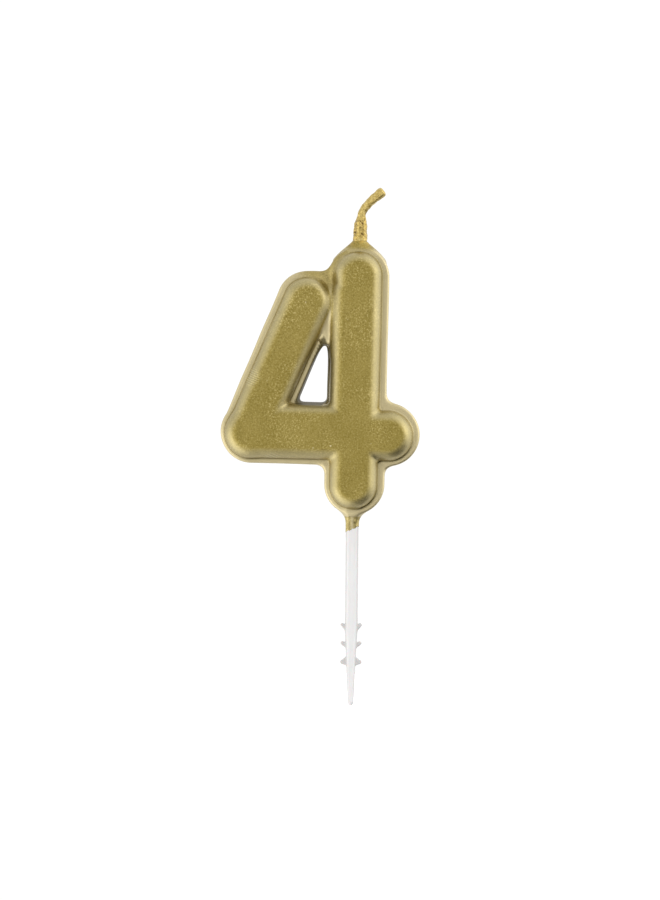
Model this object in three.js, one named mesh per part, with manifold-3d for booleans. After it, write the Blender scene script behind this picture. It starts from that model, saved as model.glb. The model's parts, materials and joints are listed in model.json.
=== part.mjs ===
// A number birthday candle: a cast wax figure four in gold lacquer, with a cotton wick and a barbed pick.
//
// Units are millimetres. +Z points up along the pick, +X is the figure's right and the relief faces -Y.
// The origin is on the pick's axis, where the wax ends and the cake's top comes up to.
// The figure is drawn flat, with x to its right, y up and z out of its face. Its drawing's origin is the
// centre of the round foot of the stem.
import * as THREE from "three";
import { mergeVertices } from "three/addons/utils/BufferGeometryUtils.js";
import Module from "manifold-3d";

const wasm = await Module();
wasm.setup();

// ---- The figure's strokes ----
const stemLength = 39.5; // between the centres of the stem's round ends
const stemWidth = 11.4;
const barWidth = 12;
const barHeight = 9.6; // the bar's centre line above the foot's centre
const cornerReach = 19.62; // from the stem's centre line left to the corner's centre
const armReach = 6.17; // from the stem's centre line right to the arm's round end
const diagonalWidth = 11.7;
const diagonalRise = 24.9; // from the bar's centre line up to the diagonal's upper end
const strokeOverlap = 1.85; // how far the diagonal's upper end runs into the stem
const webWidth = 1.8; // the web that closes the top of the gap between the diagonal and the stem
const apexGap = 1.2; // width of that gap where the web begins

// ---- The casting's section ----
const slabThickness = 4.5; // the flat plate behind the relief
const slabBack = 2.6; // the flat back's distance behind the pick's axis
const slabEdge = 0.5; // rounding of the plate's edges
const rimWidth = 0.95; // how far the plate shows around the relief
const reliefHeight = 3.5;
const shoulderWidth = 2; // the rounded shoulder of the relief, seen from the front
const shoulderHeight = 2.4; // the same shoulder, seen from the side
const reliefFoot = 0.5; // how far the relief's foot is sunk in the plate

// ---- The lacquer ----
const coatThickness = 0.3;
const coatGap = 0.3; // between the lacquer and the wax
const neckHeight = 1.1; // how far the lacquer climbs the wick past the top of the stem
const neckFillet = 0.8;
const neckWall = 0.35;
const neckCone = 2.4; // height of the cone under the flare

// ---- How finely round shapes are divided ----
const strokeSegments = 8; // along each curve of a stroke's outline
const shoulderSegments = 3;
const roundSegments = 24; // around the wick's bore, necks and crust
const flareSegments = 3;
const crustSegments = 9;
const barbSegments = 4;
const tipSegments = 3;
const yarnSides = 8;
const insideStepsPerTurn = 8; // along a yarn inside the candle
const freeStepsPerTurn = 10; // along its free end

// ---- The figure's place over the pick ----
const footHeight = 6.5; // the foot's centre above the cake
const footOffset = 0.3; // the foot's centre to the right of the pick's axis
const figureLean = degrees(0.85); // to the right

// ---- The wick ----
const yarnCount = 3;
const yarnDiameter = 0.66;
const yarnGap = 0.12; // between one yarn and the next, across the cord
const wickPitch = 4; // length of one turn of the twist
const wickClearance = 0.2; // between the cord and the bore or the crust around it
const wickAbovePick = 2.5; // from the top of the pick's shank up to the wick's lower end
const crustLength = 4.2;
const crustWall = 0.33; // at its foot
const crustBulgeWall = 0.4; // a third of the way up
const crustUpperWall = 0.3; // two thirds of the way up
const crustMouthWall = 0.17;
const crustGap = 0.3; // between the crust and the lacquer's neck
const bendLength = 3.2; // the stretch of free wick that curves over to the right
const straightEnd = 3.5; // the straight stretch after it
const wickLean = degrees(54); // of that straight stretch, from the vertical
const wickSwing = degrees(40); // the furthest that the wick's free end is bent either way

// ---- The pick ----
const pickWidth = 2.4;
const pickThickness = 1.9;
const pickLength = 35.7; // below the wax
const pickDepth = 14; // inside the wax
const pickChamfer = 0.3;
const pickClearance = 0.15; // between the shank and its socket
const barbCount = 3;
const firstBarb = 19.8; // from the wax down to the tips of the first barbs
const barbSpacing = 3.5;
const barbReach = 1.95; // from the pick's axis to a barb's tip
const barbHeight = 1.8;
const barbUnderside = 1.26; // from a barb's tip down to the middle of its under edge
const barbTopside = 0.54; // and to the middle of its upper edge
const barbNotch = 0.36; // from a barb's tip down to where its upper edge meets the pick
const barbThickness = 1;
const waistStep = 0.2; // how much narrower the pick is, on each side, below the second and the third barbs
const tipWidth = 0.9;

// ---- The lacquer on the pick ----
const paintLength = 1.9;
const paintGap = 0.1;
const paintWall = 0.25;
const paintTop = 0.3; // how far below the wax it begins

const cordRadius = yarnHelixRadius() + yarnDiameter / 2;
const bendGap = 2 * cordRadius * Math.tan(wickSwing / 2) + yarnGap;
const reliefFront = slabThickness + reliefHeight - slabBack; // from the pick's axis forward to the face

function degrees(angle) {
  return THREE.MathUtils.degToRad(angle);
}

// The distance from the cord's axis to each yarn's axis, with the yarns a gap apart.
function yarnHelixRadius() {
  return (yarnDiameter + yarnGap) / (2 * Math.sin(Math.PI / yarnCount));
}

// ---- Solids ----
function solidOf(geometry) {
  const bare = geometry.clone();
  bare.deleteAttribute("normal");
  bare.deleteAttribute("uv");
  const merged = mergeVertices(bare, 1e-4);
  const mesh = new wasm.Mesh({
    numProp: 3,
    vertProperties: merged.attributes.position.array,
    triVerts: new Uint32Array(merged.index.array),
  });
  return new wasm.Manifold(mesh);
}

function geometryOf(solid) {
  const mesh = solid.getMesh();
  const geometry = new THREE.BufferGeometry();
  geometry.setAttribute("position", new THREE.BufferAttribute(mesh.vertProperties, 3));
  geometry.setIndex(new THREE.BufferAttribute(mesh.triVerts, 1));
  geometry.computeVertexNormals();
  return geometry;
}

function joined(geometries) {
  return geometries.map(solidOf).reduce((whole, piece) => whole.add(piece));
}

// Stands a flat drawing up: its y becomes +Z and its z becomes -Y.
function stood(geometry) {
  return geometry.rotateX(Math.PI / 2);
}

// Places a solid of the figure's drawing over the pick.
function overPick(geometry) {
  return stood(geometry).rotateY(figureLean).translate(footOffset, 0, footHeight);
}

// ---- The figure ----
const corner = new THREE.Vector2(-cornerReach, barHeight);
const diagonalTop = new THREE.Vector2(
  strokeOverlap - stemWidth / 2 - diagonalWidth / 2,
  corner.y + diagonalRise,
);
const diagonalLean = Math.atan((diagonalTop.x - corner.x) / diagonalRise); // from the vertical
const strokes = [
  { from: new THREE.Vector2(0, 0), to: new THREE.Vector2(0, stemLength), width: stemWidth },
  { from: corner, to: new THREE.Vector2(armReach, barHeight), width: barWidth },
  { from: corner, to: diagonalTop, width: diagonalWidth },
];
const web = {
  from: betweenStrokes(apexGap).add(new THREE.Vector2(0, webWidth / 2)),
  to: betweenStrokes(0).add(new THREE.Vector2(0, webWidth / 2)),
  width: webWidth,
};

// The plate, but not the relief, runs level from the diagonal's round top to the stem.
const bridge = {
  from: diagonalTop,
  to: new THREE.Vector2(-stemWidth / 2, diagonalTop.y),
  width: diagonalWidth,
};

// The middle of the gap between the stem and the diagonal, at the height where the gap has a given width.
function betweenStrokes(gap) {
  const diagonalHalf = diagonalWidth / 2 / Math.cos(diagonalLean);
  const spread = stemWidth / 2 + diagonalHalf + gap + diagonalTop.x;
  return new THREE.Vector2(-stemWidth / 2 - gap / 2, diagonalTop.y - spread / Math.tan(diagonalLean));
}

// A stroke with round ends, its width less an inset on each side.
function strokeOutline({ from, to, width }, inset) {
  const radius = width / 2 - inset;
  const heading = to.clone().sub(from).angle();
  const quarter = Math.PI / 2;
  const outline = new THREE.Shape();
  outline.absarc(from.x, from.y, radius, heading + quarter, heading + 3 * quarter);
  outline.absarc(to.x, to.y, radius, heading - quarter, heading + quarter);
  return outline;
}

// The plate behind one stroke, with rounded edges.
function strokePlate(stroke, inset) {
  const edge = slabEdge - inset / 2;
  const plate = new THREE.ExtrudeGeometry(strokeOutline(stroke, inset), {
    depth: slabThickness - 2 * inset - 2 * edge,
    bevelThickness: edge,
    bevelSize: edge,
    bevelOffset: -edge,
    bevelSegments: 1,
    curveSegments: strokeSegments,
  });
  return plate.translate(0, 0, inset + edge - slabBack);
}

// The raised pillow on one stroke.
function strokeRelief(stroke, inset) {
  const width = shoulderWidth - inset;
  const height = shoulderHeight - inset;
  const depth = reliefFoot + reliefHeight - shoulderHeight;
  const relief = new THREE.ExtrudeGeometry(strokeOutline(stroke, rimWidth + inset), {
    depth,
    bevelThickness: height,
    bevelSize: width,
    bevelOffset: -width,
    bevelSegments: shoulderSegments,
    curveSegments: strokeSegments,
  });
  return relief.translate(0, 0, reliefFront - inset - height - depth);
}

function figure(inset) {
  const plates = [...strokes, web, bridge].map((stroke) => overPick(strokePlate(stroke, inset)));
  const reliefs = strokes.map((stroke) => overPick(strokeRelief(stroke, inset)));
  return joined([...plates, ...reliefs]);
}

// A solid of revolution along +Y of the drawing: a neck that flares down to a wide foot, with a cone under
// it. The flare stops at the flat back.
function flare(neckRadius, top) {
  const profile = new THREE.Path();
  const fillet = Math.min(neckFillet, slabBack - neckRadius);
  const wide = neckRadius + fillet;
  profile.moveTo(0, top - neckCone);
  profile.lineTo(wide, top - fillet);
  profile.absarc(wide, top, fillet, -Math.PI / 2, -Math.PI, true);
  profile.lineTo(0, top);
  return new THREE.LatheGeometry(profile.getPoints(flareSegments), roundSegments);
}

const stemTop = stemLength + stemWidth / 2;
const wickNeckTop = stemTop + neckHeight;
const wickBottom = pickDepth - footHeight + wickAbovePick;
const wickBoreRadius = cordRadius + wickClearance;

function wickNeck() {
  return overPick(flare(wickBoreRadius + neckWall, wickNeckTop));
}

function pickNeck() {
  const radius = Math.hypot(pickWidth, pickThickness) / 2 + 2 * pickClearance;
  return stood(flare(radius, 0).rotateX(Math.PI));
}

function wickBore() {
  const length = wickNeckTop - wickBottom + 2 * wickClearance;
  const bore = new THREE.CylinderGeometry(wickBoreRadius, wickBoreRadius, length, roundSegments);
  return overPick(bore.translate(0, wickBottom - wickClearance + length / 2, 0));
}

function pickSocket() {
  const below = neckFillet;
  const length = below + pickDepth + pickClearance;
  const width = pickWidth + 2 * pickClearance;
  const thickness = pickThickness + 2 * pickClearance;
  return new THREE.BoxGeometry(width, thickness, length).translate(0, 0, length / 2 - below);
}

function waxNumeral() {
  const cuts = joined([wickBore(), pickSocket()]);
  return figure(coatThickness + coatGap).subtract(cuts);
}

function goldCoat() {
  const outside = figure(0).add(joined([wickNeck(), pickNeck()]));
  const cuts = joined([wickBore(), pickSocket()]);
  return outside.subtract(figure(coatThickness)).subtract(cuts);
}

// ---- The wick ----
const wickTop = wickNeckTop + crustGap + crustLength;
const hingeDistance = wickTop - wickBottom;

// A place on the wick's axis, at a distance along it from its lower end. The axis goes straight up, round the
// bend, and straight on.
function wickRoute(distance) {
  const past = Math.max(distance - hingeDistance, 0);
  const heading = wickLean * Math.min(past / bendLength, 1);
  const bendRadius = bendLength / wickLean;
  const beyond = Math.max(past - bendLength, 0);
  const along = new THREE.Vector3(Math.sin(heading), Math.cos(heading), 0);
  const at = new THREE.Vector3(
    bendRadius * (1 - Math.cos(heading)),
    wickBottom + Math.min(distance, hingeDistance) + bendRadius * Math.sin(heading),
    0,
  ).addScaledVector(along, beyond);
  return { at, across: new THREE.Vector3(along.y, -along.x, 0) };
}

// One yarn's axis between two distances along the wick: a helix around the wick's own axis.
class YarnPath extends THREE.Curve {
  constructor(start, end, phase) {
    super();
    this.start = start;
    this.end = end;
    this.phase = phase;
  }

  getPoint(t, target = new THREE.Vector3()) {
    const distance = THREE.MathUtils.lerp(this.start, this.end, t);
    const turn = (2 * Math.PI * distance) / wickPitch + this.phase;
    const { at, across } = wickRoute(distance);
    target.copy(at).addScaledVector(across, yarnHelixRadius() * Math.cos(turn));
    target.z += yarnHelixRadius() * Math.sin(turn);
    return target;
  }
}

function yarn(start, end, index, stepsPerTurn) {
  const section = new THREE.Shape();
  section.absarc(0, 0, yarnDiameter / 2, 0, 2 * Math.PI);
  const path = new YarnPath(start, end, (2 * Math.PI * index) / yarnCount);
  const steps = Math.ceil(((end - start) / wickPitch) * stepsPerTurn);
  return new THREE.ExtrudeGeometry(section, { extrudePath: path, steps, curveSegments: yarnSides / 2 });
}

// The crust is a crumpled sleeve, widest a third of the way up.
function wickCrust() {
  const inner = wickBoreRadius;
  const bottom = wickNeckTop + crustGap;
  const outer = [
    new THREE.Vector2(inner + crustWall, bottom),
    new THREE.Vector2(inner + crustBulgeWall, bottom + crustLength / 3),
    new THREE.Vector2(inner + crustUpperWall, bottom + (crustLength * 2) / 3),
    new THREE.Vector2(inner + crustMouthWall, bottom + crustLength),
  ];
  const side = new THREE.SplineCurve(outer).getPoints(crustSegments);
  const top = new THREE.Vector2(inner, bottom + crustLength);
  const ring = [new THREE.Vector2(inner, bottom), ...side, top, new THREE.Vector2(inner, bottom)];
  return overPick(new THREE.LatheGeometry(ring, roundSegments));
}

// ---- The pick ----
// Half the pick's outline, from the tip up: each point is half a width and a height.
function pickSide() {
  const half = pickWidth / 2;
  const below = (barb) => -firstBarb - barbSpacing * barb - barbHeight;
  return [
    [tipWidth / 2, tipWidth / 2 - pickLength],
    [half - 2 * waistStep, below(2)],
    [half - waistStep, below(1)],
    [half, below(0)],
    [half, pickDepth - half / 2],
    [half / 2, pickDepth],
  ];
}

function pickShaft() {
  const side = pickSide();
  const outline = new THREE.Shape();
  outline.absarc(0, tipWidth / 2 - pickLength, tipWidth / 2, Math.PI, 2 * Math.PI);
  side.slice(1).forEach(([x, z]) => outline.lineTo(x, z));
  side
    .slice(1)
    .reverse()
    .forEach(([x, z]) => outline.lineTo(-x, z));
  const shaft = new THREE.ExtrudeGeometry(outline, {
    depth: pickThickness - 2 * pickChamfer,
    bevelThickness: pickChamfer,
    bevelSize: pickChamfer,
    bevelOffset: -pickChamfer,
    bevelSegments: 1,
    curveSegments: tipSegments,
  });
  return stood(shaft.translate(0, 0, pickChamfer - pickThickness / 2));
}

// A hooked barb that points up and out, on the right or the left side of the pick.
function barb(index, side) {
  const tip = -firstBarb - barbSpacing * index;
  const root = side * (pickWidth / 2 - pickChamfer - waistStep * index);
  const reach = side * barbReach;
  const middle = (root + reach) / 2;
  const hook = new THREE.Shape();
  hook.moveTo(root, tip - barbHeight);
  hook.quadraticCurveTo(middle, tip - barbUnderside, reach, tip);
  hook.quadraticCurveTo(middle, tip - barbTopside, root, tip - barbNotch);
  const plate = new THREE.ExtrudeGeometry(hook, {
    depth: barbThickness,
    bevelEnabled: false,
    curveSegments: barbSegments,
  });
  return stood(plate.translate(0, 0, -barbThickness / 2));
}

function pick() {
  const barbs = [...Array(barbCount).keys()].flatMap((index) => [barb(index, -1), barb(index, 1)]);
  return joined([pickShaft(), ...barbs]);
}

function rectangle(width, height, PathClass) {
  const outline = new PathClass();
  outline.moveTo(-width / 2, -height / 2);
  outline.lineTo(width / 2, -height / 2);
  outline.lineTo(width / 2, height / 2);
  outline.lineTo(-width / 2, height / 2);
  outline.closePath();
  return outline;
}

function pickPaint() {
  const inner = 2 * paintGap;
  const outer = inner + 2 * paintWall;
  const ring = rectangle(pickWidth + outer, pickThickness + outer, THREE.Shape);
  ring.holes.push(rectangle(pickWidth + inner, pickThickness + inner, THREE.Path));
  const sleeve = new THREE.ExtrudeGeometry(ring, { depth: paintLength, bevelEnabled: false });
  return sleeve.translate(0, 0, -paintTop - paintLength);
}

// ---- The candle ----
const goldLacquer = { color: 0xb39a55, roughness: 0.38, metalness: 0.85 };
const paleWax = { color: 0xeee6cf, roughness: 0.6, metalness: 0 };
const waxedCotton = { color: 0xc9a45a, roughness: 0.7, metalness: 0.3 };
const whitePlastic = { color: 0xf2f0ee, roughness: 0.4, metalness: 0 };

const candle = new THREE.Group();

function addPiece(name, geometry, look) {
  const mesh = new THREE.Mesh(geometry, new THREE.MeshStandardMaterial(look));
  mesh.name = name;
  candle.add(mesh);
}

addPiece("wax_numeral", geometryOf(waxNumeral()), paleWax);
addPiece("gold_coat", geometryOf(goldCoat()), goldLacquer);
addPiece("wick_crust", wickCrust(), goldLacquer);
addPiece("pick", geometryOf(pick()), whitePlastic);
addPiece("pick_paint", pickPaint(), goldLacquer);
for (let index = 0; index < yarnCount; index += 1) {
  const insideEnd = hingeDistance - bendGap / 2;
  const tipStart = hingeDistance + bendGap / 2;
  const tipEnd = hingeDistance + bendLength + straightEnd;
  const inside = yarn(0, insideEnd, index, insideStepsPerTurn);
  const free = yarn(tipStart, tipEnd, index, freeStepsPerTurn);
  addPiece(`wick_yarn_${index + 1}`, overPick(inside), waxedCotton);
  addPiece(`wick_tip_yarn_${index + 1}`, overPick(free), waxedCotton);
}

export default candle;
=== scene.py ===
# The looks of a number birthday candle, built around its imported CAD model.
#
# Lengths are millimetres in the model's own frame, and become metres where a mesh, a light or the
# camera is made. The relief faces -Y, the pick stands along Z, and the wax ends at height 0. Most
# pieces are meshed from a field: a function of x, y and z that is negative inside the piece and 0 on
# its surface.
import itertools
import json
import math

import bmesh
import bpy
import numpy as np
from mathutils import Matrix, Vector


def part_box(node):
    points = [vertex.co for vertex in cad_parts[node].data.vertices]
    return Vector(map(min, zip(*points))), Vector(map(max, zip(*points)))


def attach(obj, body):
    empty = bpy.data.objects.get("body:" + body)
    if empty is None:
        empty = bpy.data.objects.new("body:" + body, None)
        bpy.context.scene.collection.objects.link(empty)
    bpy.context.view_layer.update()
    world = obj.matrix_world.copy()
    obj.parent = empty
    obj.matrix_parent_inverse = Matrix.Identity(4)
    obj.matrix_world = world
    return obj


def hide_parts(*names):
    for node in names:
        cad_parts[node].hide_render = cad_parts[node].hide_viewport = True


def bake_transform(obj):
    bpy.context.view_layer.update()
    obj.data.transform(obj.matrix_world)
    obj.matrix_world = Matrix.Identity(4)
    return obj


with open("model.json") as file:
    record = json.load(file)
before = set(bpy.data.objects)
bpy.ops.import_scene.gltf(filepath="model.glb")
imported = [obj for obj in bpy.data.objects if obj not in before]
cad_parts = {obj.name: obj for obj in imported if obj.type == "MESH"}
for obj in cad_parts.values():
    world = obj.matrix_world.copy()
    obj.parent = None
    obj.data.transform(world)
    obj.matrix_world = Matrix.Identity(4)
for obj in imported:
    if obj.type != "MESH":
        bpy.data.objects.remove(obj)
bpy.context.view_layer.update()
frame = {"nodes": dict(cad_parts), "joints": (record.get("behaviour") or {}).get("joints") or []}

METRE = 0.001  # metres in a millimetre


# ---- What the CAD model says ----
def node_box(node):
    low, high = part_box(node)
    return np.array(low) / METRE, np.array(high) / METRE


def joint(name):
    return next(j for j in frame["joints"] if j["name"] == name)


coat_low, coat_high = node_box("gold_coat")
wax_low, wax_high = node_box("wax_numeral")
pick_low, pick_high = node_box("pick")
crust_low, _ = node_box("wick_crust")
hinge = np.array(joint("wick_bend")["pos_m"]) / METRE

# ---- The figure's strokes, in its own drawing: across and up from the centre of the stem's round foot ----
lean = math.radians(0.85)
stem_radius = 5.7
bar_radius = 6.0
diagonal_radius = 5.85
bar_height = 9.6
diagonal_rise = 24.9
stroke_overlap = 1.85  # how far the diagonal's upper end runs into the stem

inset = coat_high[1] - wax_high[1]  # from the lacquer's outside to the wax
foot_z = wax_low[2] + stem_radius - inset
foot_x = hinge[0] - (hinge[2] - foot_z) * math.tan(lean)
stem_length = (wax_high[2] - stem_radius + inset - foot_z) / math.cos(lean)
bar_shift = bar_height * math.sin(lean)
corner_reach = (foot_x + bar_shift - coat_low[0] - bar_radius) / math.cos(lean)
arm_reach = (coat_high[0] - bar_radius - foot_x - bar_shift) / math.cos(lean)

foot = (0, 0)
stem_end = (0, stem_length)
corner = (-corner_reach, bar_height)
arm_end = (arm_reach, bar_height)
diagonal_end = (stroke_overlap - stem_radius - diagonal_radius, bar_height + diagonal_rise)

# ---- The casting's section ----
slab_front = -1.9
slab_back = coat_high[1]
slab_edge = 0.45
relief_front = coat_low[1]
relief_back = 2  # inside the plate
shoulder_width = 2.3
shoulder_height = 2.7
relief_blend = 0.9  # in the corners where the raised strokes cross
valley_heights = (20, 24, 29, 34)  # the raised stem and diagonal run together above the counter:
valley_blends = (0.2, 5.0, 3.6, 1.7)  # the most at its top, and less further up
foot_blend = 0.4  # where the relief meets the plate
notch = (-5.5, 40.0)  # between the tops of the diagonal and the stem, where the lacquer lies thicker
notch_reach = (6.5, 3)  # from where that begins to where it is full
notch_blend = 1.8  # how much softer the relief's foot is there
stem_blend = 1.9  # the small fillets where the stem crosses the other strokes
apex_blend = 2.25  # rounding of the counter's sharp top
counter_blend = 1.2  # rounding of its two lower corners
counter_edge = 0.45  # rounding where its walls meet the plate
counter_surround = 1.5  # the width of solid ground around it
counter_flare = (0.15, 0.45, 0.5)  # how far its right, left and lower walls open to the front
flare_start = 0.8  # the depth at which they begin to open
flare_fade = (27, 22)  # the flare dies out towards the counter's top
waviness = 0.03
waviness_size = 9
chatter_pitch = 0.4
chatter_patches = ((-19.0, 26.6, 2.3), (-21.9, 18.1, 1.5), (-15.3, 11.5, 1.7))  # x, z and size
shade_line_width = 0.26  # the painted shade line where the relief meets the plate
plain_ground = (-6, 41.5)  # around here the lacquer is thick, and gets neither the painted shade line nor the painted rim reflection
plain_reach = (7, 3.5)

# The raised part's own strokes, each with its radius: a little to the left and low on the plate's.
relief_corner = (corner[0] - 0.45, bar_height - 0.25)
relief_stem = ((-0.23, -0.15), (-0.2, stem_length + 0.15), 4.5)
relief_stem_left = ((-0.9, bar_height), (-0.9, diagonal_end[1] + 1.5), 4.25)
relief_bar = (relief_corner, (arm_end[0], bar_height - 0.25), 4.65)
relief_bar_top = ((-14.0, bar_height + 0.75), (-4.0, bar_height + 0.75), 4.65)
relief_diagonal = (relief_corner, (diagonal_end[0] - 0.1, diagonal_end[1]), 4.5)
saddle = ((-6.15, 27.2), (-6.5, 31.0), 0.9)  # the raised ground that closes the counter's top
saddle_drop = 2.2  # how far it lies behind the face
saddle_blend = 0.9

# ---- The necks of lacquer ----
wick_neck_radius = 1.3
wick_neck_shift = -0.12
wick_neck_slope = 0.85  # how much wider it is for each millimetre further down
wick_neck_base = 3.5  # how far above the centre of the stem's round top it begins
wick_neck_blend = 1.4
pick_neck_top = 2.2  # how far it reaches up into the foot of the stem
pick_neck_blend = 1.9
film = 0.07  # the lacquer's thickness on the pick
skin_thickness = 0.25
seam = 0.35  # height of the joint between the lacquer on the wax and the lacquer on the pick
seam_gap = 0.03
wax_gap = 0.1  # between the wax and what touches it
wick_hole_radius = 0.85
run_end = -1.98  # the lower end of the lacquer on the pick
run_slant = 0.42
dimple_place = (0.5, -0.75)  # x and z of a dimple in it

# ---- The pick ----
pick_half = 1.2
pick_depth_half = pick_high[1]
pick_bevel = 0.45
pick_edge = 0.1  # rounding of its long edges
bevel_edge = 0.12  # and of the edges of its bevels
waist_step = 0.2  # how much narrower it is, on each side, below the second and the third barbs
waist_drop = 1.6  # from a barb's tip down to the narrower part
taper_drop = 2.6  # from the third barb's tip down to where the taper to the tip begins
shank_taper = 2.5  # length of the narrowing at the shank's top
shank_narrowing = 0.5
shank_round = 0.8
barb_tips = (-19.85, -23.3, -26.8)
barb_shapes = (  # the root's drop below the tip, the reach, and the radii of the root and the tip
    (1.15, 2.02, 0.52, 0.33),
    (0.8, 1.98, 0.52, 0.35),
    (0.3, 2.02, 0.95, 0.42),
)
barb_root = 0.75  # the root's centre, from the pick's axis
barb_half_thickness = 0.55
barb_edge = 0.2
barb_blend = 0.25
tip_half = 0.55
tip_height = tip_half + 0.2  # of the tip's round end

# ---- The wick ----
cord_radius = 0.8
cord_pitch = 3.9
yarn_count = 3
cord_first_lean = math.radians(3)  # where it leaves the crust
cord_lean = math.radians(53.5)
cord_settle = 1.9  # the length over which most of the bend is made
cord_length = 6.3
cord_shift = 0.08
cord_cap = 0.5  # depth of its rounded ends
cord_radii = (  # distance from the hinge, and the radius there
    (-1, 0.8),
    (0.6, 0.78),
    (1.6, 0.77),
    (3.4, 0.84),
    (cord_length - 0.4, 0.99),
    (cord_length, 0.96),
)
crust_radii = (  # height, of 4.9, and the radius there
    (0, 1.36),
    (0.4, 1.36),
    (1.6, 1.31),
    (2.9, 1.25),
    (3.7, 1.18),
    (4.2, 1.04),
    (4.6, 0.91),
    (4.9, 0.84),
)

# ---- The studio ----
studio_level = 0.83
studio = (  # directions that are brighter or darker, with their spread in degrees and the change
    ((-0.8, -0.3, -0.4), 66, 1.2),
    ((0.9, -0.15, 0.35), 62, 0.95),
    ((0, 1, 0), 80, 0.3),
    ((0.5, -0.3, -0.82), 42, -1.5),
    ((0, -0.2, 1), 60, 0.2),
    ((-0.2, -0.3, -0.95), 50, 0.3),
)

# ---- How fine the meshes are ----
fine = 1.0  # coarser meshes while trying things
skin_cell = 0.28
wax_cell = 0.4
pick_cell = 0.12
paint_cell = 0.085
cord_sides = 120
crust_sides = 144


# ---- Fields ----
def capsule(across, up, start, end, radius):
    """Distance in the drawing to a stroke with round ends."""
    along = np.subtract(end, start)
    share = ((across - start[0]) * along[0] + (up - start[1]) * along[1]) / along.dot(along)
    share = np.clip(share, 0, 1)
    return np.hypot(across - start[0] - share * along[0], up - start[1] - share * along[1]) - radius


def smooth_union(a, b, blend):
    overlap = np.maximum(blend - np.abs(a - b), 0)
    return np.minimum(a, b) - overlap**2 / (4 * blend)


def smooth_cut(a, b, blend):
    """What is inside both a and b, with the edge between them rounded."""
    return -smooth_union(-a, -b, blend)


def rounded_plate(outline, y, front, back, edge):
    """A plate of that outline between two depths, with round edges."""
    out = outline + edge
    deep = np.abs(y - (front + back) / 2) - (back - front) / 2 + edge
    return np.minimum(np.maximum(out, deep), 0) + np.hypot(np.maximum(out, 0), np.maximum(deep, 0)) - edge


def ripples(x, y, z, size, seed, waves=9):
    """Smooth noise between about -1 and 1, a sum of waves of about that size."""
    random = np.random.default_rng(seed)
    total = 0
    for _ in range(waves):
        direction = random.normal(size=3)
        direction *= 2 * math.pi / (size * random.uniform(0.7, 1.5) * np.linalg.norm(direction))
        phase = random.uniform(0, 6.28)
        total = total + np.sin(x * direction[0] + y * direction[1] + z * direction[2] + phase)
    return total / math.sqrt(waves)


def ramp(value, low, high):
    """0 at low and 1 at high, with a smooth rise between."""
    share = np.clip((value - low) / (high - low), 0, 1)
    return share * share * (3 - 2 * share)


def drawing(x, z):
    """A point's place in the figure's own drawing."""
    right, above = x - foot_x, z - foot_z
    across = right * math.cos(lean) - above * math.sin(lean)
    up = right * math.sin(lean) + above * math.cos(lean)
    return across, up


def counter(across, up, flare=0):
    """The three-sided opening of the figure. Its walls open by their share of the flare."""
    right_flare, left_flare, low_flare = counter_flare
    along = np.subtract(diagonal_end, corner)
    along = along / np.hypot(*along)
    right_of_diagonal = (across - corner[0]) * along[1] - (up - corner[1]) * along[0]
    from_stem = across + stem_radius - right_flare * flare
    from_diagonal = diagonal_radius - right_of_diagonal - left_flare * flare
    from_bar = bar_height + bar_radius - up - low_flare * flare
    sides = smooth_cut(from_stem, from_diagonal, apex_blend)
    return smooth_cut(sides, from_bar, counter_blend)


def outline(across, up):
    """Distance to the figure's outline, with the ground between its strokes filled but for the counter."""
    stem = capsule(across, up, foot, stem_end, stem_radius)
    bar = capsule(across, up, corner, arm_end, bar_radius)
    diagonal = capsule(across, up, corner, diagonal_end, diagonal_radius)
    hole = counter(across, up)
    bridge = capsule(across, up, diagonal_end, (-stem_radius, diagonal_end[1]), diagonal_radius)
    others = np.minimum(bar, np.minimum(diagonal, bridge))
    solid = smooth_union(stem, others, stem_blend)
    solid = np.minimum(solid, hole - counter_surround)
    return np.maximum(solid, -hole)


def relief_outlines(across, up):
    """Distances to the outlines of the two raised parts: stem with bar, and diagonal with bar."""
    stem = np.minimum(capsule(across, up, *relief_stem), capsule(across, up, *relief_stem_left))
    bar = np.minimum(capsule(across, up, *relief_bar), capsule(across, up, *relief_bar_top))
    diagonal = capsule(across, up, *relief_diagonal)
    return smooth_union(stem, bar, relief_blend), smooth_union(bar, diagonal, relief_blend)


def relief(across, up, y):
    """The raised pillows. Depth is squeezed, so that their shoulder is deeper than it is wide."""
    squeeze = shoulder_width / shoulder_height
    depth = y * squeeze
    front = relief_front * squeeze
    back = relief_back * squeeze
    upright, slanted = (
        rounded_plate(raised, depth, front, back, shoulder_width) for raised in relief_outlines(across, up)
    )
    pillows = smooth_union(upright, slanted, np.interp(up, valley_heights, valley_blends))
    saddle_front = (relief_front + saddle_drop) * squeeze
    ground = rounded_plate(capsule(across, up, *saddle), depth, saddle_front, back, saddle[2])
    return smooth_union(pillows, ground, saddle_blend)


def pick_section(x, y, half, grow=0):
    """The pick's chamfered section."""
    wide = np.abs(x) - half - grow
    deep = np.abs(y) - pick_depth_half - grow
    bevel = np.minimum(pick_bevel, 0.4 * half)
    cut = (wide + deep + bevel) / math.sqrt(2) + 0.3 * grow
    return smooth_cut(smooth_cut(wide, deep, pick_edge), cut, bevel_edge)


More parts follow.
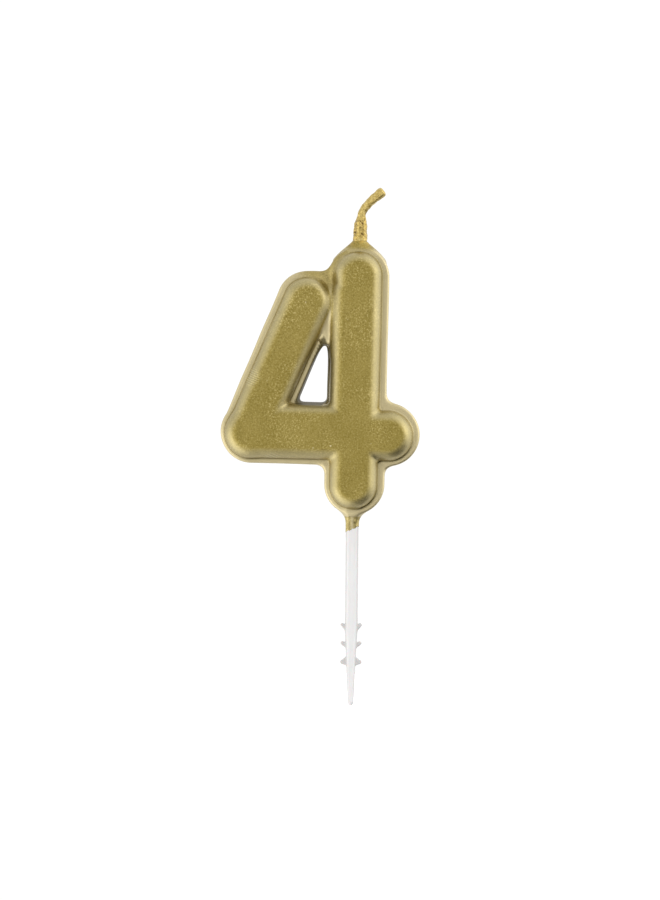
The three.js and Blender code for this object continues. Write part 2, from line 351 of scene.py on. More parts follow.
def skin(x, y, z):
    """The lacquered outside of the casting, with the necks that climb the wick and run down the pick."""
    across, up = drawing(x, z)
    plate = rounded_plate(outline(across, up), y, slab_front, slab_back, slab_edge)
    near_notch = ramp(np.hypot(across - notch[0], up - notch[1]), *notch_reach) * ramp(y, 0, slab_front)
    body = smooth_union(plate, relief(across, up, y), foot_blend + notch_blend * near_notch)
    flare = ramp(y, flare_start, slab_front) * ramp(up, *flare_fade)
    body = smooth_cut(body, -counter(across, up, flare), counter_edge)
    body = body - waviness * ripples(x, y, z, waviness_size, seed=4)
    neck_radius = wick_neck_radius + wick_neck_slope * np.maximum(coat_high[2] - z, 0)
    flatness = neck_radius / wick_neck_radius
    cone_slope = 0.75  # makes the cone's field rise about 1 for each millimetre
    wick_neck = (np.hypot(across - wick_neck_shift, y * flatness) - neck_radius) * cone_slope
    wick_neck = np.maximum(wick_neck, stem_length + wick_neck_base - up)
    body = smooth_union(body, wick_neck, wick_neck_blend)
    pick_neck = np.maximum(pick_section(x, y, pick_half, film), z - foot_z + stem_radius - pick_neck_top)
    return smooth_union(body, pick_neck, pick_neck_blend)


def run_down(x, y, z):
    """The lacquer that ran down onto the pick: a film with a slanting ragged end, a groove and a dimple."""
    body = skin(x, y, z)
    front = y < 0
    groove = np.exp(-(((x - 0.42 + 0.16 * (z + 0.7)) / 0.13) ** 2)) * (z < -0.3) * front
    dimple = np.exp(-((x - dimple_place[0]) ** 2 + (z - dimple_place[1]) ** 2) / 0.06) * front
    streak = np.exp(-(((x + 0.08) / 0.22) ** 2)) * (z < -0.5) * front
    body = body + 0.02 * groove + 0.03 * dimple - 0.05 * streak
    ragged = 0.1 * np.sin(7 * x + 1.3) + 0.06 * np.sin(17 * x + 5 * y) + 0.05 * np.sin(29 * y)
    end = run_end + run_slant * x + ragged
    return smooth_cut(body, end - z, 0.08)


def pick_half_width(z):
    """The pick narrows below its first barbs and tapers to its tip."""
    first, second, third = barb_tips
    profile = (
        (pick_low[2], tip_half),
        (third - taper_drop, pick_half - 2 * waist_step),
        (third - waist_drop, pick_half - 1.9 * waist_step),
        (second - waist_drop, pick_half - waist_step),
        (first - waist_drop, pick_half),
        (pick_high[2] - shank_taper, pick_half),
        (pick_high[2], pick_half - shank_narrowing),
    )
    return np.interp(z, *zip(*profile))


def barb(x, z, tip, root_drop, reach, root_radius, tip_radius):
    """One pair of barbs: on each side a horn that narrows from the shaft up and out to its tip."""
    side = np.abs(x)
    start = np.array([barb_root, tip - root_drop])
    along = np.array([reach - tip_radius, tip - tip_radius]) - start
    share = ((side - start[0]) * along[0] + (z - start[1]) * along[1]) / along.dot(along)
    share = np.clip(share, 0, 1)
    radius = root_radius + (tip_radius - root_radius) * share
    return np.hypot(side - start[0] - share * along[0], z - start[1] - share * along[1]) - radius


def spike(x, y, z):
    """The moulded pick with its three pairs of barbs."""
    half = pick_half_width(z)
    shaft = pick_section(x, y, half)
    shaft = smooth_cut(shaft, z - pick_high[2], shank_round)
    tip_centre = pick_low[2] + tip_height
    tip = np.hypot(np.hypot(x, y * 0.6), np.maximum(tip_centre - z, 0)) - tip_half
    body = np.where(z < tip_centre, np.maximum(shaft, tip), shaft)
    for tip_z, shape in zip(barb_tips, barb_shapes):
        horn = rounded_plate(
            barb(x, z, tip_z, *shape), y, -barb_half_thickness, barb_half_thickness, barb_edge
        )
        body = smooth_union(body, horn, barb_blend)
    return body - 0.012 * ripples(x, y, z, 5, seed=8)


# ---- Meshes ----
def mesh_piece(name, points, faces, material):
    mesh = bpy.data.meshes.new(name)
    mesh.from_pydata((np.asarray(points) * METRE).tolist(), [], [list(f) for f in faces])
    mesh.validate()
    mesh.update()
    mesh.shade_smooth()
    mesh.materials.append(material)
    piece = bpy.data.objects.new(name, mesh)
    bpy.context.scene.collection.objects.link(piece)
    return piece


def settle(points, field, steps):
    """Moves points along the field's slope onto its surface."""
    small = 0.01
    for _ in range(steps):
        value = field(*points.T)
        slope = np.empty_like(points)
        for axis in range(3):
            shift = np.zeros(3)
            shift[axis] = small
            slope[:, axis] = (field(*(points + shift).T) - field(*(points - shift).T)) / (2 * small)
        points = points - slope * (value / np.maximum((slope**2).sum(1), 0.05))[:, None]
    return points


def surface_net(field, low, high, cell):
    """Points and quads of the field's surface, with a point in each grid cell that it crosses."""
    axes = [np.arange(a, b + cell, cell) for a, b in zip(low, high)]
    values = field(*np.meshgrid(*axes, indexing="ij"))
    inside = values < 0
    shape = np.array(values.shape) - 1
    steps = list(itertools.product((0, 1), repeat=3))
    windows = [tuple(slice(s, s + n) for s, n in zip(step, shape)) for step in steps]
    count = sum(inside[w].astype(np.int8) for w in windows)
    crossed = (count > 0) & (count < 8)
    number = np.full(shape, -1)
    number[crossed] = np.arange(crossed.sum())
    cells = np.argwhere(crossed)
    corner_values = np.stack([values[w][crossed] for w in windows])
    total = np.zeros((len(cells), 3))
    crossings = np.zeros(len(cells))
    for a, b in itertools.combinations(range(8), 2):
        step_a, step_b = np.array(steps[a]), np.array(steps[b])
        if np.abs(step_a - step_b).sum() != 1:
            continue
        va, vb = corner_values[a], corner_values[b]
        cut = (va < 0) != (vb < 0)
        share = np.where(cut, va / np.where(cut, va - vb, 1), 0)
        total += cut[:, None] * (step_a + share[:, None] * (step_b - step_a))
        crossings += cut
    points = np.array(low) + cell * (cells + total / crossings[:, None])
    quads = []
    for axis in range(3):
        side, other = (axis + 1) % 3, (axis + 2) % 3
        first = np.moveaxis(inside, (axis, side, other), (0, 1, 2))
        grid = np.moveaxis(number, (axis, side, other), (0, 1, 2))
        here, there = first[:-1, 1:-1, 1:-1], first[1:, 1:-1, 1:-1]
        for outward in (True, False):
            i, j, k = np.nonzero((here != there) & (here == outward))
            ring = [grid[i, j, k], grid[i, j + 1, k], grid[i, j + 1, k + 1], grid[i, j, k + 1]]
            quads.append(np.stack(ring if outward else ring[::-1], 1))
    return settle(points, field, 3), np.concatenate(quads)


def field_piece(name, field, low, high, cell, material):
    points, quads = surface_net(field, low, high, cell * fine)
    return mesh_piece(name, points, quads.tolist(), material)


def cut_open(piece, point, outward):
    """Cuts a piece with a plane and leaves it open; outward points at the side thrown away."""
    mesh = bmesh.new()
    mesh.from_mesh(piece.data)
    everything = mesh.verts[:] + mesh.edges[:] + mesh.faces[:]
    bmesh.ops.bisect_plane(
        mesh,
        geom=everything,
        dist=1e-7,
        plane_co=[c * METRE for c in point],
        plane_no=outward,
        clear_outer=True,
    )
    mesh.to_mesh(piece.data)
    mesh.free()


def thicken(piece, thickness):
    """Gives an open skin its wall, on the inside."""
    wall = piece.modifiers.new("wall", "SOLIDIFY")
    wall.thickness = thickness * METRE
    wall.offset = -1
    wall.use_rim = True


def mark(piece, name, values):
    """Stores one number at each vertex, for a material to read."""
    attribute = piece.data.attributes.new(name, "FLOAT", "POINT")
    attribute.data.foreach_set("value", np.clip(values, 0, 1).astype(np.float32))


def points_of(piece):
    flat = np.empty(len(piece.data.vertices) * 3, np.float32)
    piece.data.vertices.foreach_get("co", flat)
    return flat.reshape(-1, 3).astype(float) / METRE


def ring_faces(rings, sides, closed):
    faces = []
    for ring in range(rings if closed else rings - 1):
        above = (ring + 1) % rings
        for side in range(sides):
            after = (side + 1) % sides
            low = ring * sides
            high = above * sides
            faces.append((low + side, low + after, high + after, high + side))
    return faces


def tube_piece(name, rings, material, closed):
    """A skin over rings of points. It closes on itself, or ends in a fan at each end."""
    count, sides = rings.shape[:2]
    points = rings.reshape(-1, 3)
    faces = ring_faces(count, sides, closed)
    if not closed:
        low, high = len(points), len(points) + 1
        points = np.vstack([points, rings[0].mean(0), rings[-1].mean(0)])
        last = (count - 1) * sides
        faces += [((s + 1) % sides, s, low) for s in range(sides)]
        faces += [(last + s, last + (s + 1) % sides, high) for s in range(sides)]
    return mesh_piece(name, points, faces, material)


# ---- Materials ----
def new_material(name):
    material = bpy.data.materials.new(name)
    material.use_nodes = True
    tree = material.node_tree
    return material, tree, tree.nodes["Principled BSDF"]


def plug(tree, socket, value):
    if isinstance(value, bpy.types.NodeSocket):
        tree.links.new(value, socket)
    else:
        socket.default_value = value


def node(tree, kind, inputs, **settings):
    made = tree.nodes.new("ShaderNode" + kind)
    for name, value in settings.items():
        setattr(made, name, value)
    for name, value in inputs.items():
        plug(tree, made.inputs[name], value)
    return made


def millimetres(tree, stretch=(1, 1, 1)):
    """Object coordinates in millimetres, so that they move with the piece."""
    place = node(tree, "TexCoord", {}).outputs["Object"]
    scale = tuple(s / METRE for s in stretch)
    return node(tree, "Mapping", {"Vector": place, "Scale": scale}).outputs["Vector"]


def noise(tree, place, size, detail=2.0, roughness=0.5, distortion=0.0):
    inputs = {
        "Vector": place,
        "Scale": 1 / size,
        "Detail": detail,
        "Roughness": roughness,
        "Distortion": distortion,
    }
    return node(tree, "TexNoise", inputs).outputs["Fac"]


def between(tree, value, low, high, to_low=0.0, to_high=1.0):
    """Maps low..high to to_low..to_high, smoothly and clamped."""
    inputs = {"Value": value, "From Min": low, "From Max": high, "To Min": to_low, "To Max": to_high}
    return node(tree, "MapRange", inputs, interpolation_type="SMOOTHSTEP").outputs["Result"]


def maths(tree, operation, a, b):
    made = node(tree, "Math", {}, operation=operation)
    plug(tree, made.inputs[0], a)
    plug(tree, made.inputs[1], b)
    return made.outputs[0]


def mix(tree, share, a, b):
    """One colour changing to another."""
    made = node(tree, "Mix", {}, data_type="RGBA")
    plug(tree, made.inputs["Factor"], share)
    plug(tree, made.inputs["A"], a)
    plug(tree, made.inputs["B"], b)
    return made.outputs["Result"]


def attribute(tree, name):
    return node(tree, "Attribute", {}, attribute_name=name).outputs["Fac"]


def faded(tree, name, strength):
    """One of the mesh's marks, at a share of its strength."""
    return maths(tree, "MULTIPLY", attribute(tree, name), strength)


def bumps(tree, shader, *layers):
    """Chains bump nodes, each a height and its depth in millimetres, into the shader."""
    normal = None
    for height, depth in layers:
        inputs = {"Height": height, "Distance": depth * METRE, "Strength": 1.0}
        if normal is not None:
            inputs["Normal"] = normal
        normal = node(tree, "Bump", inputs).outputs["Normal"]
    plug(tree, shader.inputs["Normal"], normal)


def flecks(tree, place, size, share):
    """Small bright dots: a share of the cells of a fine mosaic, each brightest at its middle."""
    mosaic = node(tree, "TexVoronoi", {"Vector": place, "Scale": 1 / size})
    picked = between(tree, mosaic.outputs["Color"], 1 - share, 1 - share + 0.02)
    middle = between(tree, mosaic.outputs["Distance"], 0.5, 0.1)
    return maths(tree, "MULTIPLY", picked, middle)


def gold_material():
    """Metallic lacquer with fine grain, and painted light: highlights on the shoulders and ridges, a pale
    reflection on the rim, shade along the relief's foot and on the counter's walls.
    """
    dull_gold = (0.31, 0.235, 0.045, 1)
    warm_gold = (0.345, 0.265, 0.06, 1)
    bright_grain = (0.64, 0.52, 0.2, 1)
    dark_grain = (0.17, 0.12, 0.015, 1)
    pale_fleck = (0.8, 0.7, 0.4, 1)
    shoulder_highlight = (0.5, 0.44, 0.25, 1)
    pale_reflection = (0.6, 0.515, 0.3, 1)
    yellow_neck = (0.46, 0.32, 0.07, 1)
    shade_colour = (0.11, 0.085, 0.018, 1)
    ridge_highlight = (0.62, 0.55, 0.3, 1)
    material, tree, shader = new_material("gold_lacquer")
    place = millimetres(tree)
    cloud = noise(tree, place, 6, 3)
    grain = noise(tree, place, 0.34, 3, 0.8)
    patches = between(tree, noise(tree, place, 7, 2), 0.42, 0.66)
    colour = mix(tree, between(tree, cloud, 0.35, 0.65), dull_gold, warm_gold)
    bright = between(tree, grain, 0.5, 0.68)
    bright = maths(tree, "MULTIPLY", bright, between(tree, patches, 0, 1, 0.4, 0.9))
    colour = mix(tree, bright, colour, bright_grain)
    colour = mix(tree, between(tree, grain, 0.5, 0.3, 0, 0.75), colour, dark_grain)
    dots = flecks(tree, place, 0.42, 0.07)
    dots = maths(tree, "MULTIPLY", dots, maths(tree, "ADD", patches, 0.2))
    colour = mix(tree, dots, colour, pale_fleck)
    # Painted light: paler shoulders for their highlights, and a paler rim for its reflection of the pale
    # surroundings.
    colour = mix(tree, faded(tree, "shoulder", 0.55), colour, shoulder_highlight)
    colour = mix(tree, faded(tree, "rim", 0.9), colour, pale_reflection)
    blotches = between(tree, noise(tree, place, 0.7, 2), 0.4, 0.6)
    colour = mix(tree, faded(tree, "neck", blotches), colour, yellow_neck)
    # Painted shade: one dark colour along the relief's foot and on the counter's walls.
    dark = maths(tree, "MAXIMUM", faded(tree, "painted_shade", 0.92), faded(tree, "counter_shade", 0.9))
    colour = mix(tree, dark, colour, shade_colour)
    # Painted highlight on the crests of the tool ridges.
    chatter = chatter_marks(tree, place)
    colour = mix(tree, maths(tree, "MULTIPLY", chatter, 0.5), colour, ridge_highlight)
    plug(tree, shader.inputs["Base Color"], colour)
    # The counter's painted shade also makes the lacquer there less metallic and rougher, so that it reflects
    # less.
    open_metal = maths(tree, "SUBTRACT", 1, faded(tree, "counter_shade", 0.4))
    metal = maths(tree, "MULTIPLY", open_metal, between(tree, grain, 0.3, 0.7, 0.96, 0.88))
    plug(tree, shader.inputs["Metallic"], metal)
    sheen = between(tree, cloud, 0.3, 0.7, 0.42, 0.5)
    rough = maths(tree, "MAXIMUM", sheen, faded(tree, "counter_shade", 0.8))
    plug(tree, shader.inputs["Roughness"], rough)
    shader.inputs["Coat Weight"].default_value = 0.35
    shader.inputs["Coat Roughness"].default_value = 0.3
    bumps(
        tree,
        shader,
        (noise(tree, place, 1.6, 2), 0.05),
        (noise(tree, place, 0.22, 2, 0.6), 0.026),
        (chatter, 0.05),
    )
    return material


def chatter_marks(tree, place):
    """Patches of short parallel ridges on the left shoulder, across its edge."""
    along = tuple(Vector((diagonal_end[0] - corner[0], 0, diagonal_end[1] - corner[1])).normalized())
    travel = node(tree, "VectorMath", {0: place, 1: along}, operation="DOT_PRODUCT").outputs["Value"]
    wave = maths(tree, "SINE", maths(tree, "MULTIPLY", travel, 2 * math.pi / chatter_pitch), 0)
    ridges = between(tree, wave, -0.2, 0.9)
    patches = 0
    for x, z, size in chatter_patches:
        middle = (x, relief_front + 1.5, z)
        away = node(tree, "VectorMath", {0: place, 1: middle}, operation="DISTANCE").outputs["Value"]
        patches = maths(tree, "MAXIMUM", between(tree, away, size, size * 0.6), patches)
    return maths(tree, "MULTIPLY", ridges, patches)


def wick_gold_material(name):
    """Cotton soaked in lacquer and wax: yellower than the figure, with painted shade in its creases, folds
    and pits.
    """
    material, tree, shader = new_material(name)
    place = millimetres(tree)
    grain = noise(tree, place, 0.35, 3, 0.7)
    pits = between(tree, noise(tree, place, 0.38, 3, 0.6, 0.4), 0.41, 0.33, 0, 0.7)
    colour = mix(tree, between(tree, grain, 0.35, 0.65), (0.48, 0.345, 0.085, 1), (0.74, 0.59, 0.22, 1))
    dots = maths(tree, "MULTIPLY", flecks(tree, place, 0.3, 0.15), 0.7)
    colour = mix(tree, dots, colour, (0.85, 0.74, 0.36, 1))
    colour = mix(tree, faded(tree, "crumple", 0.45), colour, (0.4, 0.27, 0.05, 1))
    # Painted shade in the creases, the folds and the pits.
    crease_shade = (0.17, 0.1, 0.015, 1)
    colour = mix(tree, attribute(tree, "crease"), colour, crease_shade)
    colour = mix(tree, faded(tree, "crumple", pits), colour, crease_shade)
    plug(tree, shader.inputs["Base Color"], colour)
    plug(tree, shader.inputs["Roughness"], between(tree, grain, 0.3, 0.7, 0.38, 0.52))
    shader.inputs["Metallic"].default_value = 0.82
    shader.inputs["Coat Weight"].default_value = 0.3
    shader.inputs["Coat Roughness"].default_value = 0.3
    bumps(tree, shader, (noise(tree, place, 0.5, 2), 0.06), (noise(tree, place, 0.14, 2, 0.6), 0.03))
    return material


def wax_material():
    material, tree, shader = new_material("paraffin_wax")
    place = millimetres(tree)
    cloud = noise(tree, place, 5, 3)
    colour = mix(tree, between(tree, cloud, 0.35, 0.65), (0.84, 0.77, 0.6, 1), (0.9, 0.84, 0.7, 1))
    plug(tree, shader.inputs["Base Color"], colour)
    plug(tree, shader.inputs["Roughness"], between(tree, noise(tree, place, 1.5), 0.3, 0.7, 0.42, 0.6))
    shader.inputs["Subsurface Weight"].default_value = 0.3
    shader.inputs["Subsurface Scale"].default_value = 0.002
    bumps(tree, shader, (noise(tree, place, 0.8, 3), 0.04))
    return material


def cotton_material():
    material, tree, shader = new_material("waxed_cotton")
    place = millimetres(tree)
    wave = {"Vector": place, "Scale": 1.4, "Distortion": 3.0, "Detail": 2.0}
    fibres = node(tree, "TexWave", wave).outputs["Fac"]
    colour = mix(tree, fibres, (0.5, 0.33, 0.09, 1), (0.68, 0.48, 0.17, 1))
    plug(tree, shader.inputs["Base Color"], colour)
    plug(tree, shader.inputs["Roughness"], between(tree, noise(tree, place, 0.4), 0.3, 0.7, 0.6, 0.8))
    bumps(tree, shader, (fibres, 0.03))
    return material


def plastic_material():
    """White moulded plastic with faint flow marks along the pick, and painted shade on its bevelled sides.
    """
    material, tree, shader = new_material("white_plastic")
    place = millimetres(tree, (1, 1, 0.12))
    flow = noise(tree, place, 0.9, 3)
    colour = mix(tree, between(tree, flow, 0.35, 0.65), (0.76, 0.755, 0.75, 1), (0.8, 0.795, 0.79, 1))
    # Painted shade: the bevelled sides are darker.
    colour = mix(tree, attribute(tree, "edge"), colour, (0.58, 0.57, 0.56, 1))
    plug(tree, shader.inputs["Base Color"], colour)
    plug(tree, shader.inputs["Roughness"], between(tree, flow, 0.3, 0.7, 0.5, 0.62))
    shader.inputs["Subsurface Weight"].default_value = 0.1
    shader.inputs["Subsurface Scale"].default_value = 0.001
    bumps(tree, shader, (flow, 0.02), (noise(tree, millimetres(tree), 0.3), 0.006))
    return material


# ---- The pieces ----
def make_gold_skin(material):
    low = coat_low - 0.9
    high = coat_high + (0.9, 0.9, 1.2)
    low[2] = -1.2
    skin_piece = field_piece("gold_skin", skin, low, high, skin_cell, material)
    cut_open(skin_piece, (0, 0, seam), (0, 0, -1))
    cut_open(skin_piece, (0, 0, coat_high[2]), (0, 0, 1))
    mark_gold_skin(skin_piece)
    thicken(skin_piece, skin_thickness)
    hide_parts("gold_coat")
    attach(skin_piece, "figure")


def mark_gold_skin(skin_piece):
    """Marks the painted shade line at the relief's foot, the painted reflection on the rim, the painted
    highlights on the shoulders, the painted shade on the counter's walls, and the neck's yellower lacquer.
    """
    x, y, z = points_of(skin_piece).T
    across, up = drawing(x, z)
    stem_top = stem_length + stem_radius
    bar_top = bar_height + bar_radius
    raised = np.minimum(*relief_outlines(across, up))
    in_front = ramp(y, 1.6, 0.2)

    plain = ramp(np.hypot(across - plain_ground[0], up - plain_ground[1]), *plain_reach)
    plain = np.maximum(0.8 * plain, ramp(up, stem_top - 1.2, stem_top))

    # The painted shade line is darker on the sides that face down and to the right, away from the lights.
    step = 0.1
    beyond = np.minimum(*relief_outlines(across + step, up - step))
    low_right = (beyond - raised) / (step * math.sqrt(2))
    from_foot = np.hypot(np.maximum(np.abs(raised) - 0.05, 0), y - slab_front)
    line = np.exp(-((from_foot / shade_line_width) ** 2))
    mark(skin_piece, "painted_shade", line * (0.72 + 0.28 * low_right) * (1 - plain))
    # Painted reflection: the rim is paler.
    mark(skin_piece, "rim", ramp(raised, -0.1, 0.25) * in_front * (1 - plain))

    # Painted highlight: the relief's shoulders are paler.
    inward = -raised / shoulder_width
    mark(skin_piece, "shoulder", ramp(inward, 0.9, 0.35) * ramp(inward, 0, 0.2) * in_front)

    # Painted shade on the counter's walls, furthest out on its left and at its foot.
    hole = -counter(across, up)
    reach = 0.3 + 0.42 * ramp(across, -stem_radius - 0.2, -stem_radius - 1)
    reach = reach + 0.15 * ramp(up, bar_top + 0.5, bar_top - 0.1)
    mark(skin_piece, "counter_shade", ramp(-hole, reach, reach - 0.15) * (np.abs(hole) < 2))
    mark(skin_piece, "neck", ramp(up, stem_top - 0.4, stem_top + 1.2))


def casting(x, y, z):
    """The wax under the lacquer, with its holes for the pick and the wick."""
    across, _ = drawing(x, z)
    body = skin(x, y, z) + skin_thickness + wax_gap
    body = np.maximum(body, wax_low[2] - z)
    body = np.maximum(body, z - wax_high[2])
    pick_hole = np.maximum(pick_section(x, y, pick_half, wax_gap), z - pick_high[2] - wax_gap)
    wick_hole = np.maximum(np.hypot(across, y) - wick_hole_radius, pick_high[2] + 3 - z)
    return np.maximum(body, -np.minimum(pick_hole, wick_hole))


def make_wax(material):
    piece = field_piece("wax_casting", casting, wax_low - 0.4, wax_high + 0.6, wax_cell, material)
    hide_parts("wax_numeral")
    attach(piece, "figure")


def make_pick(material):
    low = pick_low - 0.4
    high = pick_high + 0.4
    piece = field_piece("moulded_pick", spike, low, high, pick_cell, material)
    x, y, z = points_of(piece).T
    # Painted shade on the pick's bevelled sides.
    mark(piece, "edge", ramp(np.abs(x) / pick_half_width(z), 0.62, 0.95))
    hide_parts("pick")
    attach(piece, "pick")


def make_paint(material):
    low = (-2.6, -2.2, -3.2)
    high = (2.6, 2.2, seam + 0.6)
    piece = field_piece("lacquer_on_pick", run_down, low, high, paint_cell, material)
    cut_open(piece, (0, 0, seam - seam_gap), (0, 0, 1))
    open_bottom(piece)
    x, y, z = points_of(piece).T
    front = y < 0
    # Painted shade in the dimple and along the trickle, and a painted highlight down the front of the film.
    dimple = np.exp(-((x - dimple_place[0]) ** 2 + (z - dimple_place[1]) ** 2) / 0.07)
    trickle = np.exp(-(((x - 0.45 + 0.25 * (z + 0.8)) / 0.12) ** 2)) * (z < -0.7)
    mark(piece, "painted_shade", np.maximum(dimple, 0.6 * trickle) * front)
    mark(piece, "rim", 0.25 + 0.65 * np.exp(-(((x + 0.05) / 0.3) ** 2)) * front)
    thicken(piece, film * 0.8)
    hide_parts("pick_paint")
    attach(piece, "pick")


def open_bottom(piece):
    """Takes away the faces that close the film's lower end, inside the pick."""
    mesh = bmesh.new()
    mesh.from_mesh(piece.data)
    inner = []
    for face in mesh.faces:
        x, y, z = np.array(face.calc_center_median()) / METRE
        if pick_section(x, y, pick_half) < 0.01 and z < -0.5:
            inner.append(face)
    bmesh.ops.delete(mesh, geom=inner, context="FACES")
    mesh.to_mesh(piece.data)
    mesh.free()


def wick_frames(distances):
    """Centres and sideways directions along the wick. Distance 0 is the hinge; below it is straight."""
    step = 0.02
    along = np.arange(0, cord_length + 1, step)
    heading = cord_first_lean + (cord_lean - cord_first_lean) * (1 - np.exp(-along / cord_settle))
    x = np.concatenate([[0], np.cumsum(np.sin(heading) * step)])[:-1]
    z = np.concatenate([[0], np.cumsum(np.cos(heading) * step)])[:-1]
    past = np.maximum(distances, 0)
    turn = np.interp(past, along, heading)
    before = np.minimum(distances, 0)
    centre = np.stack([
        hinge[0] + cord_shift + np.interp(past, along, x) + before * math.sin(heading[0]),
        np.zeros_like(distances),
        hinge[2] + np.interp(past, along, z) + before * math.cos(heading[0]),
    ], 1)
    side = np.stack([np.cos(turn), np.zeros_like(turn), -np.sin(turn)], 1)
    return centre, side


def rings_around(centre, side, radius):
    """Rings of points with a radius for each ring and angle. Angle 0 points sideways, 90 to -Y."""
    angle = np.linspace(0, 2 * math.pi, radius.shape[1], endpoint=False)
    offset = radius * np.cos(angle)
    rings = centre[:, None, :] + offset[:, :, None] * side[:, None, :]
    rings[:, :, 1] -= radius * np.sin(angle)
    return rings


def twist_lobes(distance, angle):
    """0 at the top of a yarn and 1 in the crease between two."""
    turn = angle - 2 * math.pi * distance / cord_pitch
    return np.abs(np.sin(turn * yarn_count / 2)) ** 3


def make_wick_cord(material):
    body = np.linspace(-0.4, cord_length, int(170 / fine))
    cap = np.linspace(0, math.pi / 2, 9)[1:]
    lower_cap = body[0] - cord_cap * np.sin(cap[::-1])
    upper_cap = cord_length + cord_cap * np.sin(cap)
    distance = np.concatenate([lower_cap, body, upper_cap])
    share = np.concatenate([np.cos(cap[::-1]) ** 0.6, np.ones_like(body), np.cos(cap) ** 0.6])
    share = np.maximum(share, 0.02)
    angle = np.linspace(0, 2 * math.pi, cord_sides, endpoint=False)
    d, a = np.meshgrid(distance, angle, indexing="ij")
    base = np.interp(distance, *zip(*cord_radii))
    crease = twist_lobes(d, a)
    x, y = np.cos(a), np.sin(a)
    lumps = 0.035 * ripples(x * 1.2, y * 1.2, d, 1.6, seed=3) + 0.014 * ripples(x, y, d, 0.5, seed=5)
    radius = (base[:, None] - 0.04 * crease + lumps) * share[:, None]
    centre, side = wick_frames(distance)
    piece = tube_piece("wick_cord", rings_around(centre, side, radius), material, closed=False)
    # Painted shade in the creases between the yarns and on the inside of the bend.
    bend_shade = np.exp(-((d - 1.3) ** 2) / 0.9) * np.maximum(x, 0) ** 2
    marks = np.concatenate([(0.14 * crease + 0.75 * bend_shade).ravel(), [0, 0]])
    mark(piece, "crease", marks)
    mark(piece, "crumple", np.full(len(marks), 0.35))
    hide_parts(*[f"wick_tip_yarn_{i + 1}" for i in range(yarn_count)])
    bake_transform(piece)


def make_wick_crust(material):
    """The crumpled sleeve of wax and lacquer around the foot of the wick, with upright folds and a lip."""
    length = hinge[2] + 0.15 - crust_low[2] + 0.25
    outer = np.linspace(0, length, int(90 / fine))
    angle = np.linspace(0, 2 * math.pi, crust_sides, endpoint=False)
    d, a = np.meshgrid(outer, angle, indexing="ij")
    heights, radii = zip(*crust_radii)
    base = np.interp(outer, np.array(heights) / heights[-1] * length, radii)
    x, y = np.cos(a), np.sin(a)
    folds = np.abs(np.sin(2.5 * a + 0.5 * np.sin(1.3 * d) + 0.35 * d + 0.6)) ** 5
    folds = folds * ramp(d, 0.2, 1.2) * ramp(d, length, length - 0.9)
    pits = np.maximum(ripples(x * 1.3, y * 1.3, d, 0.75, seed=12) - 0.7, 0)
    lumps = 0.05 * ripples(x * 1.3, y * 1.3, d, 1.3, seed=7) + 0.02 * ripples(x, y, d, 0.45, seed=9)
    steady = ramp(d, 0, 0.5)
    radius = base[:, None] - (0.1 * folds + 0.12 * pits - lumps) * steady
    inner = np.linspace(length, 0, 30)
    bore = np.full((len(inner), crust_sides), cord_radius + 0.03)
    bottom = crust_low[2] - 0.28
    share = np.concatenate([outer, inner]) / length
    centre = np.stack([
        foot_x + (bottom + share * length - foot_z) * math.tan(lean) - 0.06 + 0.14 * share,
        np.zeros_like(share),
        bottom + share * length,
    ], 1)
    side = np.tile([1.0, 0, 0], (len(share), 1))
    rings = rings_around(centre, side, np.concatenate([radius, bore]))
    piece = tube_piece("wick_crust_sleeve", rings, material, closed=True)
    unmarked = np.zeros(bore.size)
    # Painted shade in the crust's folds and pits.
    mark(piece, "crease", np.concatenate([(0.4 * folds + 1.2 * pits).ravel(), unmarked]))
    mark(piece, "crumple", np.concatenate([steady.ravel(), unmarked]))
    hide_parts("wick_crust")
    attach(piece, "figure")


def dress_cad_nodes():
    """Gives the CAD nodes that stay their own material."""
    cotton = cotton_material()
    for yarn in range(yarn_count):
        piece = frame["nodes"][f"wick_yarn_{yarn + 1}"]
        piece.data.materials.clear()
        piece.data.materials.append(cotton)


# ---- The stage ----
def make_camera():
    """A long lens from straight in front, turned a little so that the pick leans to the right."""
    view_height, distance, roll = 171.0, 2000.0, math.radians(0.58)
    data = bpy.data.cameras.new("camera")
    data.sensor_width = 36
    data.lens = data.sensor_width * distance / view_height
    data.clip_start, data.clip_end = 0.05, 20
    camera = bpy.data.objects.new("camera", data)
    bpy.context.scene.collection.objects.link(camera)
    upright = Matrix.Rotation(math.radians(90), 4, "X")
    tilt = Matrix.Rotation(-roll, 4, "Y")
    place = Matrix.Translation(Vector((-4.37, -distance, 13.0)) * METRE)
    camera.matrix_world = place @ tilt @ upright
    bpy.context.scene.camera = camera


def softbox(name, direction, size, radiance):
    """A square lamp half a metre from the figure, turned to it."""
    towards = Vector(direction).normalized()
    centre = Vector((-4, 0, 25)) * METRE
    data = bpy.data.lights.new(name, "AREA")
    data.shape = "SQUARE"
    data.size = size
    data.energy = radiance * math.pi * size**2
    lamp = bpy.data.objects.new(name, data)
    bpy.context.scene.collection.objects.link(lamp)
    lamp.location = centre + towards * 0.5
    lamp.rotation_mode = "QUATERNION"
    lamp.rotation_quaternion = towards.to_track_quat("Z", "Y")
    lamp.visible_camera = False


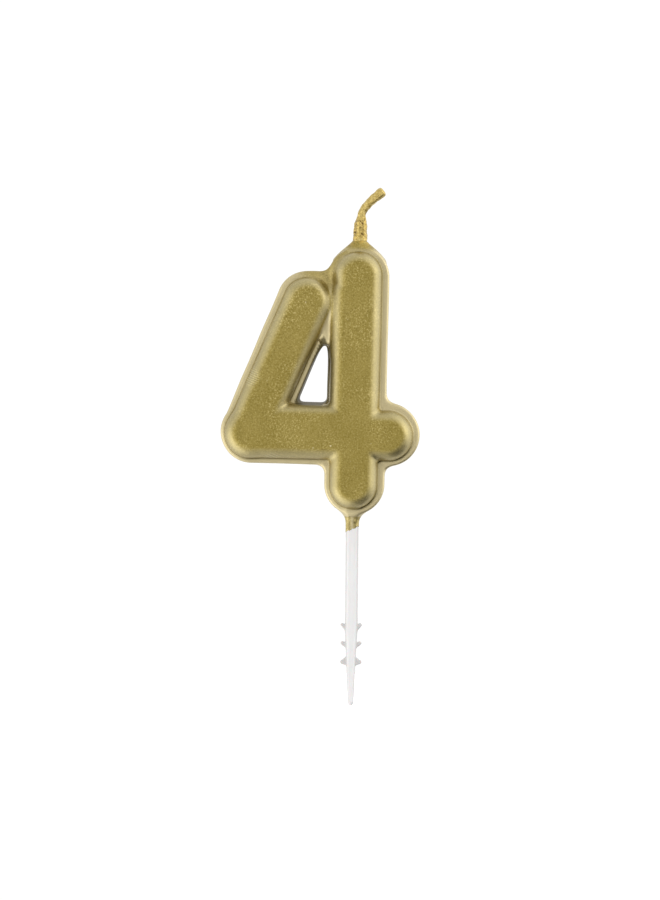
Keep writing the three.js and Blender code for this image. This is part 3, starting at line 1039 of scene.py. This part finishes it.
def make_world():
    """White behind the object. What lights it is a studio, brighter in some directions than in others."""
    world = bpy.data.worlds.new("studio")
    bpy.context.scene.world = world
    world.use_nodes = True
    tree = world.node_tree
    background = tree.nodes["Background"]
    background.inputs["Color"].default_value = (1, 1, 1, 1)
    facing = node(tree, "TexCoord", {}).outputs["Generated"]
    light = studio_level
    for direction, spread, change in studio:
        towards = tuple(Vector(direction).normalized())
        along = node(tree, "VectorMath", {0: facing, 1: towards}, operation="DOT_PRODUCT").outputs["Value"]
        lobe = between(tree, along, math.cos(math.radians(spread)), 1, 0, change)
        light = maths(tree, "ADD", light, lobe)
    light = maths(tree, "MAXIMUM", light, 0.03)
    seen = node(tree, "LightPath", {}).outputs["Is Camera Ray"]
    strength = node(tree, "Mix", {"Factor": seen, "A": light, "B": 1.05}, data_type="FLOAT")
    plug(tree, background.inputs["Strength"], strength.outputs["Result"])


def make_floor():
    """A round pale floor under the pick's tip. Reflections don't show it."""
    material, tree, shader = new_material("pale_floor")
    place = millimetres(tree)
    colour = mix(tree, noise(tree, place, 30), (0.9, 0.9, 0.9, 1), (0.94, 0.94, 0.94, 1))
    plug(tree, shader.inputs["Base Color"], colour)
    shader.inputs["Roughness"].default_value = 0.9
    shader.inputs["Emission Color"].default_value = (1, 1, 1, 1)
    shader.inputs["Emission Strength"].default_value = 0.55
    sides = 96
    angle = np.linspace(0, 2 * math.pi, sides, endpoint=False)
    rim = np.stack([300 * np.cos(angle), 300 * np.sin(angle), np.full(sides, pick_low[2] - 0.05)], 1)
    floor = mesh_piece("floor", rim, [range(sides)], material)
    floor.visible_glossy = False
    floor.visible_diffuse = False


def make_stage():
    bpy.context.scene.view_settings.view_transform = "Standard"
    make_world()
    make_floor()
    softbox("left_low", (-0.85, -0.35, -0.4), 0.2, 2.0)
    softbox("right_high", (0.9, -0.35, 0.3), 0.2, 2.0)


make_camera()
make_stage()
gold = gold_material()
make_gold_skin(gold)
make_wax(wax_material())
make_pick(plastic_material())
make_paint(gold)
wick_gold = wick_gold_material("gilded_cotton")
make_wick_crust(wick_gold)
make_wick_cord(wick_gold)
dress_cad_nodes()
